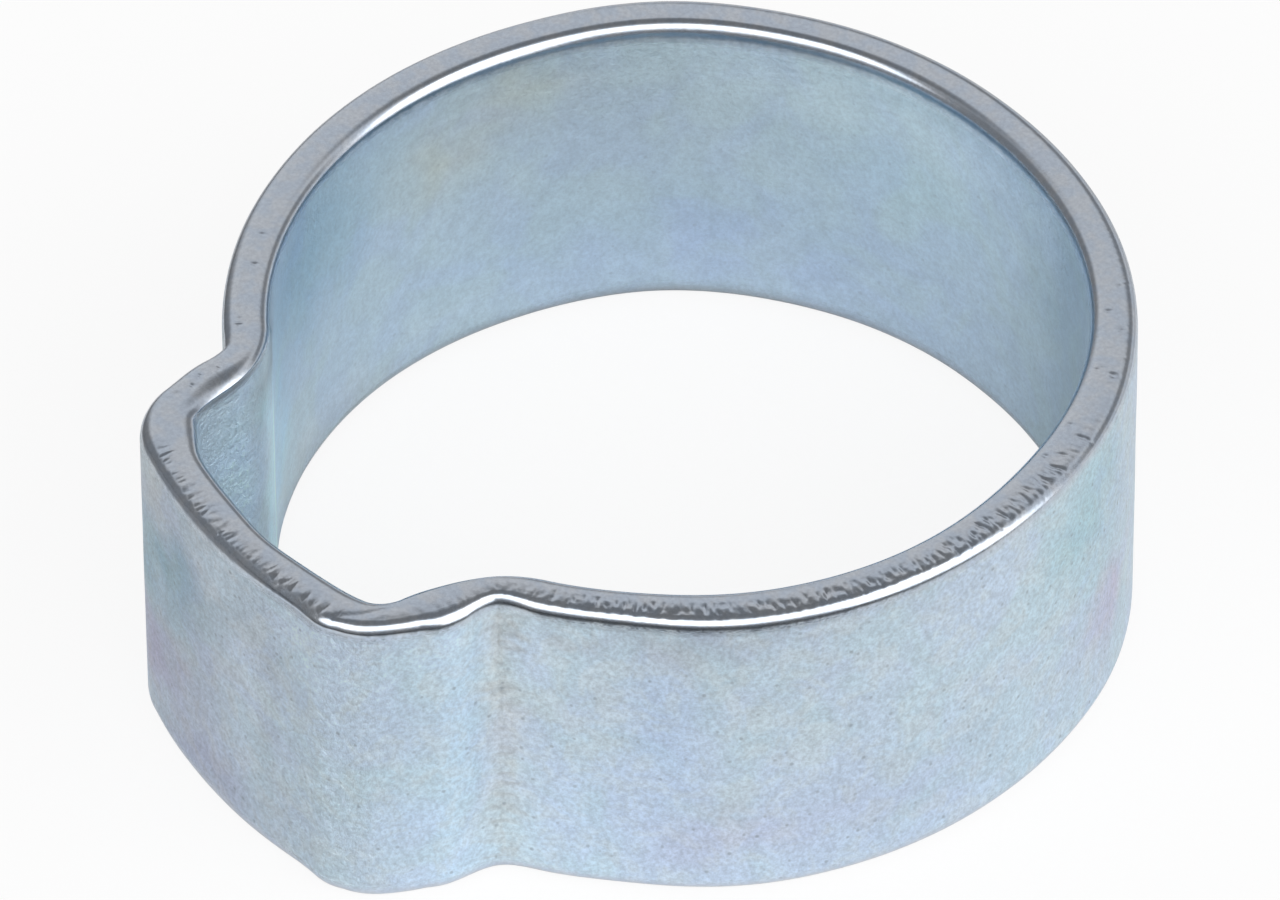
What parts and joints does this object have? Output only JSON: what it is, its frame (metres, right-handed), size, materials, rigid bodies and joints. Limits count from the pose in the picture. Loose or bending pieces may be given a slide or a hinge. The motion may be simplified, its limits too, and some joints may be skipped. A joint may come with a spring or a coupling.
{
  "type": "ear hose clamp",
  "caption": "Closed steel band with a single raised ear, slipped over a hose end and pinched shut on its fitting.",
  "frame": {"origin": "on the bore's axis, at the middle of the band's width", "axes": "+Z along the bore, -Y towards the ear, +X across the ear"},
  "size_m": [0.0206, 0.0232, 0.0086],
  "materials": {
    "zinc_plated_steel": "thin zinc plating with a pale blue passivation, faint iridescent tints and a fine tumbled speckle"
  },
  "bodies": {
    "root": {"clamp_band": "zinc_plated_steel"}
  },
  "joints": []
}
